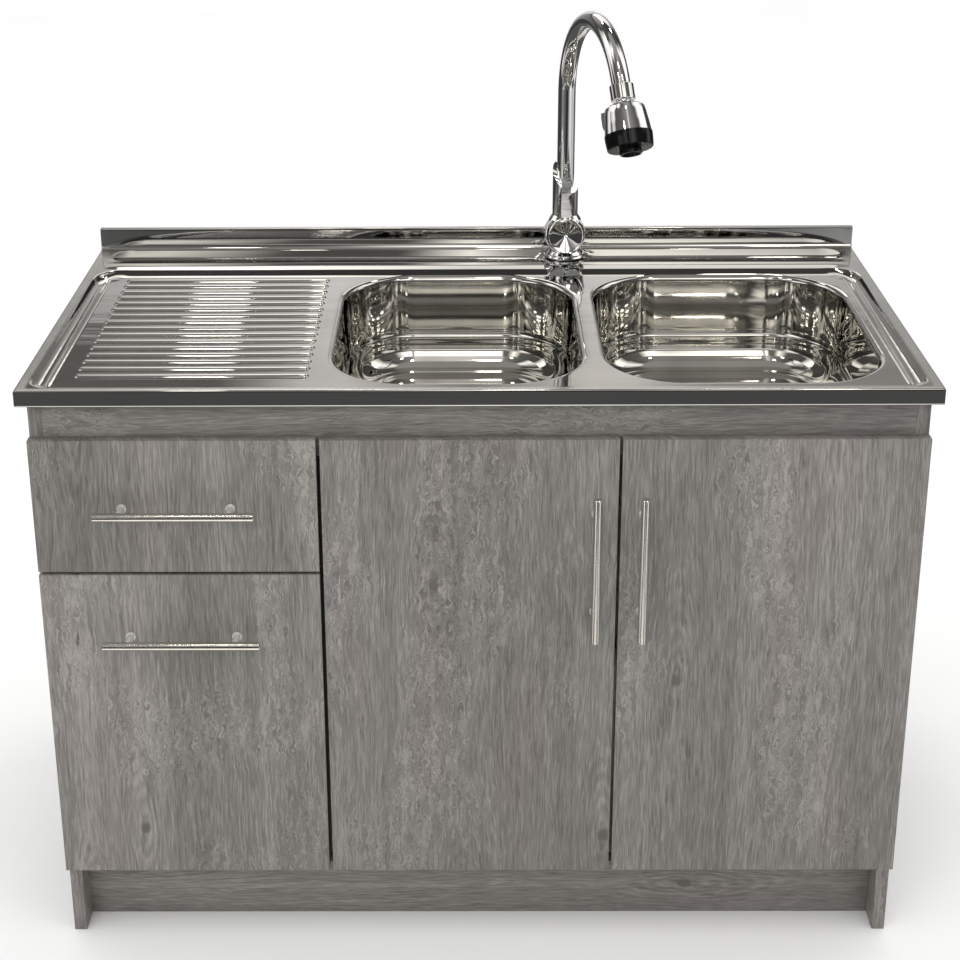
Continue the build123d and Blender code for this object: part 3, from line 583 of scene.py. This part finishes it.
def foldLip(bm):
    # front and side edges: rounded over and folded down
    half, start = deck["halfWidth"] - deck["edgeRound"], deck["edgeRound"]

    def outwards(vert):
        x, y = toDeck(vert.co)
        return (math.copysign(1.0, x) if abs(x) > half - 0.01 else 0.0, -1.0 if y < start + 0.01 else 0.0)

    def onEdge(edge):
        spots = [toDeck(vert.co) for vert in edge.verts]
        return all(abs(x) > half - 0.01 for x, y in spots) or all(y < start + 0.01 for x, y in spots)

    edges = [edge for edge in bm.edges if edge.is_boundary and onEdge(edge)]
    turn = [math.radians(a) for a in (20, 45, 70, 90)]
    profile = [(start * math.sin(a), start * (1 - math.cos(a))) for a in turn]
    profile += [(start, start + 1.0), (start, deck["lip"] - 2.2), (start, deck["lip"] - 1.2),
                (start - 0.4, deck["lip"] - 0.3), (start - 1.2, deck["lip"])]
    base = {}
    for vert in {vert for edge in edges for vert in edge.verts}:
        base[vert] = (vert.co.copy(), outwards(vert))
    for out, down in profile:
        made = bmesh.ops.extrude_edge_only(bm, edges=edges)["geom"]
        edges = [item for item in made if isinstance(item, bmesh.types.BMEdge)]
        fresh = {}
        for vert in [item for item in made if isinstance(item, bmesh.types.BMVert)]:
            old = next(edge.other_vert(vert) for edge in vert.link_edges if edge.other_vert(vert) in base)
            rest, (ox, oy) = base[old]
            vert.co = rest + Vector((ox * out, oy * out, -down)) * mm
            fresh[vert] = (rest, (ox, oy))
        base = fresh


def addRibs(bm):
    # each rib is a low rounded bar whose skirt runs out into the tray
    half, skirt = ribs["half"], ribs["skirt"]
    low, high = ribs["xRange"]
    trayZ = deck["rimZ"] - tray["drop"]
    offsets = [-half - skirt] + [-half * share for share in (1.0, 0.95, 0.86, 0.74, 0.6, 0.4, 0.2)] + [0.0]
    middle = len(offsets)
    offsets += [-value for value in reversed(offsets[:-1])]
    columns = [low + value for value in offsets[:middle]]
    columns += lines((low + ribs["endRun"], high - ribs["endRun"], 50.0))
    columns += [high + value for value in offsets[middle - 1:]]
    pitch = (ribs["yRange"][1] - ribs["yRange"][0]) / (ribs["count"] - 1)
    for index in range(ribs["count"]):
        y = ribs["yRange"][0] + pitch * index
        made = bmesh.ops.create_grid(bm, x_segments=len(columns) - 1, y_segments=len(offsets) - 1, size=1.0)
        for vert in made["verts"]:
            x = columns[round((vert.co.x + 1) / 2 * (len(columns) - 1))]
            off = offsets[round((vert.co.y + 1) / 2 * (len(offsets) - 1))]
            reach = math.hypot(max(low - x, x - high, 0.0), off)
            crown = ribs["high"] * (1 - min(reach / half, 1.0) ** 4)
            vert.co = toFrame(x, y + off, trayZ + crown - ribs["sunk"] * ease(reach, half, half + skirt))


def upstandBar(bm):
    back = deck["backY"] + deck["upstandThick"]
    low, high = deck["rimZ"] - deck["lip"], deck["upstandTop"]
    middle = toFrame(0, (deck["backY"] + back) / 2, (low + high) / 2)
    size = Vector((2 * deck["halfWidth"], deck["upstandThick"], high - low)) * mm
    shape = Matrix.Translation(middle) @ Matrix.Diagonal((*size, 1.0))
    made = bmesh.ops.create_cube(bm, size=1.0, matrix=shape)["verts"]
    edges = list({edge for vert in made for edge in vert.link_edges})
    bmesh.ops.bevel(bm, geom=edges, offset=deck["upstandRound"] * mm, offset_type="OFFSET", affect="EDGES",
                    segments=3, profile=0.5, material=-1)


def steelTop():
    bm = deckGrid()
    openings = [(cutOpening(bm, bowl), bowl) for bowl in bowls.values()]
    for vert in bm.verts:
        x, y = toDeck(vert.co)
        vert.co.z = deckHeight(x, y) * mm
    for edges, bowl in openings:
        turnDown(bm, edges, bowl)
    foldLip(bm)
    addRibs(bm)
    bmesh.ops.recalc_face_normals(bm, faces=bm.faces)
    if sum(face.normal.z for face in bm.faces) < 0:
        bmesh.ops.reverse_faces(bm, faces=bm.faces)
    bmesh.ops.solidify(bm, geom=bm.faces, thickness=deck["sheet"] * mm)
    upstandBar(bm)
    return addPiece("steel_top", bm, deckFinish, "sink_top", 50.0)


def bowlShell(node, bowl):
    straight, arc = bowlForm["straightSteps"], bowlForm["cornerSteps"]
    count = 4 * (straight + arc)
    halfX, halfY, corner = bowl["size"][0] / 2, bowl["size"][1] / 2, bowlForm["corner"]
    outline = []
    for quarter in range(4):
        # straight run, then the corner, going round from the middle of the right side
        turn = quarter * math.pi / 2
        signs = [(1, 1), (-1, 1), (-1, -1), (1, -1)][quarter]
        cx, cy = signs[0] * (halfX - corner), signs[1] * (halfY - corner)
        for i in range(arc):
            a = turn + math.pi / 2 * i / arc
            outline.append((cx + corner * math.cos(a), cy + corner * math.sin(a)))
        nextSigns = [(-1, 1), (-1, -1), (1, -1), (1, 1)][quarter]
        start = (cx + corner * math.cos(turn + math.pi / 2), cy + corner * math.sin(turn + math.pi / 2))
        end = (nextSigns[0] * (halfX - corner) + corner * math.cos(turn + math.pi / 2),
               nextSigns[1] * (halfY - corner) + corner * math.sin(turn + math.pi / 2))
        for i in range(straight):
            t = i / straight
            outline.append((start[0] + (end[0] - start[0]) * t, start[1] + (end[1] - start[1]) * t))
    trayZ = deck["rimZ"] - tray["drop"]
    floorZ = trayZ - bowlForm["depth"]
    slope = math.tan(math.radians(bowlForm["draft"]))
    collar = bowlForm["collar"]
    top = trayZ - bowlForm["collarDrop"]
    creaseZ = bowlForm["creaseZ"]
    heights = [-down for down in lines((-top, -creaseZ, bowlForm["ringStep"]))]
    rings = [(collar + (top - z) * slope, z) for z in heights]
    wall = rings[-1][0]
    rings += [(wall + 0.5, creaseZ - 0.6), (wall + 1.0, creaseZ - 1.8)]
    wall += 1.0
    radius = bowlForm["floorR"]
    curveTop = floorZ + bowlForm["floorFall"] + radius
    rings.append((wall + (creaseZ - 1.8 - curveTop) * slope, curveTop))
    wall = rings[-1][0]
    filletSteps = bowlForm["filletSteps"]
    for i in range(1, filletSteps + 1):
        a = math.pi / 2 * i / filletSteps
        rings.append((wall + radius * (1 - math.cos(a)), curveTop - radius * math.sin(a)))
    bm = bmesh.new()
    verts = bmesh.ops.create_circle(bm, segments=count, radius=1.0)["verts"]
    edges = list(bm.edges)

    def place(vert, index, inset, z):
        x, y = outline[index]
        nx, ny = openingSide(bowl, x + bowl["x"], y + bowl["y"])[1:]
        # the drawn corners are faintly fluted
        bend = min(abs(nx * ny) * 2, 1.0)
        flute = bowlForm["flute"] * bend * math.sin(math.atan2(ny, nx) * bowlForm["fluteTurns"])
        inset += flute * ease(top - z, 4.0, 40.0) * ease(z - floorZ, 6.0, 30.0)
        vert.co = toFrame(x + bowl["x"] - nx * inset, y + bowl["y"] - ny * inset, z)

    indexOf = {vert: index for index, vert in enumerate(verts)}
    for vert, index in indexOf.items():
        place(vert, index, *rings[0])
    floorSteps = bowlForm["floorSteps"]
    plan = [("wall", ring) for ring in rings[1:]]
    plan += [("floor", (i + 1) / floorSteps) for i in range(floorSteps)]
    edgeSpots = {}
    for kind, value in plan:
        made = bmesh.ops.extrude_edge_only(bm, edges=edges)["geom"]
        edges = [item for item in made if isinstance(item, bmesh.types.BMEdge)]
        fresh = {}
        for vert in [item for item in made if isinstance(item, bmesh.types.BMVert)]:
            old = next(edge.other_vert(vert) for edge in vert.link_edges if edge.other_vert(vert) in indexOf)
            index = indexOf[old]
            fresh[vert] = index
            if kind == "wall":
                place(vert, index, *value)
                edgeSpots[index] = vert.co.copy()
            else:
                rest = edgeSpots[index]
                middle = toFrame(bowl["x"], bowl["y"], floorZ)
                away = (rest - middle) * Vector((1, 1, 0))
                rim = middle + away.normalized() * bowlForm["wasteR"] * mm
                vert.co = rest.lerp(rim, value)
                vert.co.z = (floorZ + bowlForm["floorFall"] * (1 - value) ** 1.5) * mm
        indexOf = fresh
    bmesh.ops.recalc_face_normals(bm, faces=bm.faces)
    flat = max(bm.faces, key=lambda face: abs(face.normal.z))
    if flat.normal.z < 0:
        bmesh.ops.reverse_faces(bm, faces=bm.faces)
    bmesh.ops.solidify(bm, geom=bm.faces, thickness=deck["sheet"] * mm)
    return addPiece(node + "_pressing", bm, bowlFinish, node, 50.0)


steelTop()
for node, bowl in bowls.items():
    bowlShell(node, bowl)
print("steel top and bowls made")


# the boards get eased edges, the other nodes their finish
doneNodes = {"sink_top", "left_bowl", "right_bowl"}
for node in sorted(slotOf):
    if node in doneNodes:
        continue
    if slotOf[node] in ("oak_front", "pale_board"):
        bm = easedBoard(node)
        finish = oakFinishes.get(node) or finishes["pale_board"]
        addPiece(node + "_board", bm, finish, node, 25.0)
    else:
        finish = levelBarFinish if node.endswith("drawer_handle_bar") else finishes[slotOf[node]]
        finish = postFinish if node.endswith("handle_posts") else finish
        addPiece(node + "_finished", mergedCopy(node), finish, node, 32.0)
print("other pieces finished")


studio = {
    "floorSize": 60.0,
    "softLow": 0.62,        # light from the sides, for dull surfaces
    "softHigh": 1.55,       # and from overhead
    "backdrop": 0.92,
}


def floorPaint(place):
    fleck = place.noise(2.0, 2.0)
    return {"Base Color": fleck.ramp((0.3, (0.79, 0.79, 0.79)), (0.7, (0.81, 0.81, 0.81))), "Roughness": 0.9}


def makeFloor():
    bm = bmesh.new()
    bmesh.ops.create_grid(bm, x_segments=1, y_segments=1, size=studio["floorSize"] / 2)
    mesh = bpy.data.meshes.new("studio_floor")
    bm.to_mesh(mesh)
    bm.free()
    floor = bpy.data.objects.new("studio_floor", mesh)
    bpy.context.scene.collection.objects.link(floor)
    floor.data.materials.append(newFinish("studioFloor", floorPaint))
    floor.visible_glossy = False


# what the bright metal mirrors, in bands from low to high: each ends at a height (the sine of its
# elevation), has a tint, and has shades round the compass, 0 behind the unit and 90 to its right
mirrored = [
    (-0.47, (1.0, 0.96, 0.9), [
        (-180, 1.5), (-160, 1.4), (-150, 0.1), (-120, 0.1), (-110, 1.2), (-100, 1.0), (-90, 0.1),
        (-30, 0.1), (-10, 0.9), (10, 0.8), (25, 0.1), (80, 0.1), (90, 1.1), (110, 1.2), (120, 0.1),
        (145, 0.1), (160, 1.4), (180, 1.5)]),
    (-0.33, (1.0, 1.0, 1.0), [
        (-180, 0.1), (-145, 0.1), (-135, 1.5), (-120, 1.3), (-110, 0.1), (-85, 0.05), (-70, 1.1),
        (-55, 0.1), (-20, 0.1), (-10, 0.9), (10, 0.1), (40, 0.05), (60, 1.2), (75, 1.0), (85, 0.05),
        (115, 0.1), (130, 1.5), (140, 1.4), (150, 0.1), (180, 0.1)]),
    (-0.05, (1.0, 1.0, 1.0), [
        (-180, 0.02), (-150, 0.15), (-115, 0.3), (-105, 0.05), (-60, 0.05), (-30, 0.05), (-10, 0.5),
        (10, 0.05), (60, 0.1), (85, 0.7), (105, 0.5), (130, 1.0), (150, 0.5), (165, 0.05), (180, 0.02)]),
    (0.27, (1.0, 0.98, 0.95), [
        (-180, 0.05), (-150, 0.05), (-140, 1.6), (-125, 1.5), (-115, 0.05), (-80, 0.05), (-65, 1.2),
        (-50, 0.05), (-20, 0.3), (-5, 0.9), (0, 0.6), (5, 0.9), (20, 0.3), (35, 0.05), (60, 0.05),
        (70, 1.3), (80, 1.1), (90, 0.05), (180, 0.05)]),
    (0.33, (1.0, 0.98, 0.95), [
        (-180, 1.3), (-165, 0.8), (-150, 0.15), (-140, 1.6), (-125, 1.5), (-115, 0.05), (-65, 1.2),
        (-50, 0.05), (-20, 0.2), (-5, 0.9), (0, 0.6), (5, 0.9), (20, 0.3), (35, 0.05), (70, 1.3),
        (90, 0.05), (150, 0.15), (165, 0.8), (180, 1.3)]),
    (0.4, (1.0, 0.95, 0.9), [
        (-180, 0.1), (-140, 1.0), (-120, 0.05), (-65, 1.5), (-50, 0.05), (-20, 0.15), (-8, 0.15),
        (-5, 0.9), (0, 0.3), (5, 0.9), (8, 0.4), (20, 0.3), (40, 0.05), (70, 1.6), (90, 0.05),
        (180, 0.1)]),
    (0.72, (1.0, 0.96, 0.9), [
        (-180, 2.5), (-175, 0.2), (-165, 0.2), (-155, 1.7), (-140, 0.15), (-100, 0.1), (-85, 2.0),
        (-70, 1.6), (-55, 0.05), (-20, 0.5), (-10, 2.5), (0, 1.2), (10, 1.2), (20, 1.0), (30, 0.05),
        (50, 0.05), (70, 2.0), (90, 1.6), (105, 0.1), (140, 0.15), (155, 1.6), (170, 2.5), (175, 0.3),
        (180, 2.5)]),
    (0.94, (1.0, 0.97, 0.93), [
        (-180, 0.9), (-170, 0.3), (-120, 0.1), (-105, 1.6), (-75, 0.1), (0, 0.05), (60, 0.1), (85, 1.5),
        (110, 0.1), (170, 0.3), (180, 0.9)]),
]
overhead = (0.34, 0.33, 0.31)


def makeSky():
    world = bpy.data.worlds.new("studioSky")
    bpy.context.scene.world = world
    world.use_nodes = True
    tree = world.node_tree
    tree.nodes.clear()
    start = Wire(tree)
    way = start.node("ShaderNodeTexCoord", {}, {}, "Generated")
    upward = way.part(2)
    compass = start.sum("ARCTAN2", way.part(0), way.part(1)) / (2 * math.pi) + 0.5
    seen = None
    for top, tint, stops in mirrored:
        band = compass.ramp(*[((at + 180) / 360, [value * part for part in tint]) for at, value in stops])
        seen = band if seen is None else upward.step(below - 0.006, below + 0.006).mix(seen, band)
        below = top
    seen = upward.step(below - 0.02, below + 0.02).mix(seen, overhead)
    soft = upward.step(0.0, 1.0) * (studio["softHigh"] - studio["softLow"]) + studio["softLow"]
    soft = soft.node("ShaderNodeCombineColor", {}, {0: soft, 1: soft, 2: soft})
    rays = "ShaderNodeLightPath"
    shown = start.node(rays, {}, {}, "Is Glossy Ray").mix(soft, seen)
    shown = start.node(rays, {}, {}, "Is Camera Ray").mix(shown, (studio["backdrop"],) * 3)
    light = start.node("ShaderNodeBackground", {}, {"Color": shown, "Strength": 1.0})
    output = tree.nodes.new("ShaderNodeOutputWorld")
    tree.links.new(light.socket, output.inputs["Surface"])


lamps = {
    "frontLight": {"spot": (-1.2, -3.2, 2.6), "target": (0.0, -0.3, 0.45), "size": (1.6, 1.0), "power": 22.0},
    "ceilingSpots": ((-0.75, -1.5), (0.10, -0.9), (0.95, -1.4), (-0.35, 1.6), (0.75, 1.3)),
    "ceilingZ": 3.1,
    "ceilingSize": (0.16, 0.30),
    "ceilingPower": 2.6,
    "ceilingColour": (1.0, 0.95, 0.86),
}


def softBox(name, spot, target, size, power, seenInMetal=False, colour=(1.0, 1.0, 1.0)):
    lamp = bpy.data.lights.new(name, "AREA")
    lamp.shape = "RECTANGLE"
    lamp.size, lamp.size_y = size
    lamp.energy = power
    lamp.color = colour
    box = bpy.data.objects.new(name, lamp)
    bpy.context.scene.collection.objects.link(box)
    box.matrix_world = Matrix.Translation(spot) @ \
        (Vector(target) - Vector(spot)).to_track_quat("-Z", "Y").to_matrix().to_4x4()
    box.visible_camera = False
    box.visible_glossy = seenInMetal


def makeCamera():
    view = {"place": (-0.01391, -2.46367, 1.72357), "down": 20.09, "right": -0.39, "roll": -0.30,
            "lens": 68.11, "shift": (0.025, -0.15)}
    down, right, roll = (math.radians(view[key]) for key in ("down", "right", "roll"))
    ahead = Vector((math.sin(right) * math.cos(down), math.cos(right) * math.cos(down), -math.sin(down)))
    side = Vector((math.cos(right), -math.sin(right), 0.0))
    up = side.cross(ahead)
    sideRolled = math.cos(roll) * side + math.sin(roll) * up
    upRolled = math.cos(roll) * up - math.sin(roll) * side
    lens = bpy.data.cameras.new("camera")
    lens.lens = view["lens"]
    lens.shift_x, lens.shift_y = view["shift"]
    lens.clip_end = 200.0
    camera = bpy.data.objects.new("camera", lens)
    bpy.context.scene.collection.objects.link(camera)
    turned = Matrix((sideRolled, upRolled, -ahead)).transposed().to_4x4()
    camera.matrix_world = Matrix.Translation(view["place"]) @ turned
    bpy.context.scene.camera = camera


makeFloor()
makeSky()
softBox("frontLight", **lamps["frontLight"])
for number, (x, y) in enumerate(lamps["ceilingSpots"]):
    softBox("ceilingLamp_%d" % number, (x, y, lamps["ceilingZ"]), (x, y, 0.0), lamps["ceilingSize"],
            lamps["ceilingPower"], True, lamps["ceilingColour"])
makeCamera()
bpy.context.scene.view_settings.view_transform = "Standard"
print("studio ready")
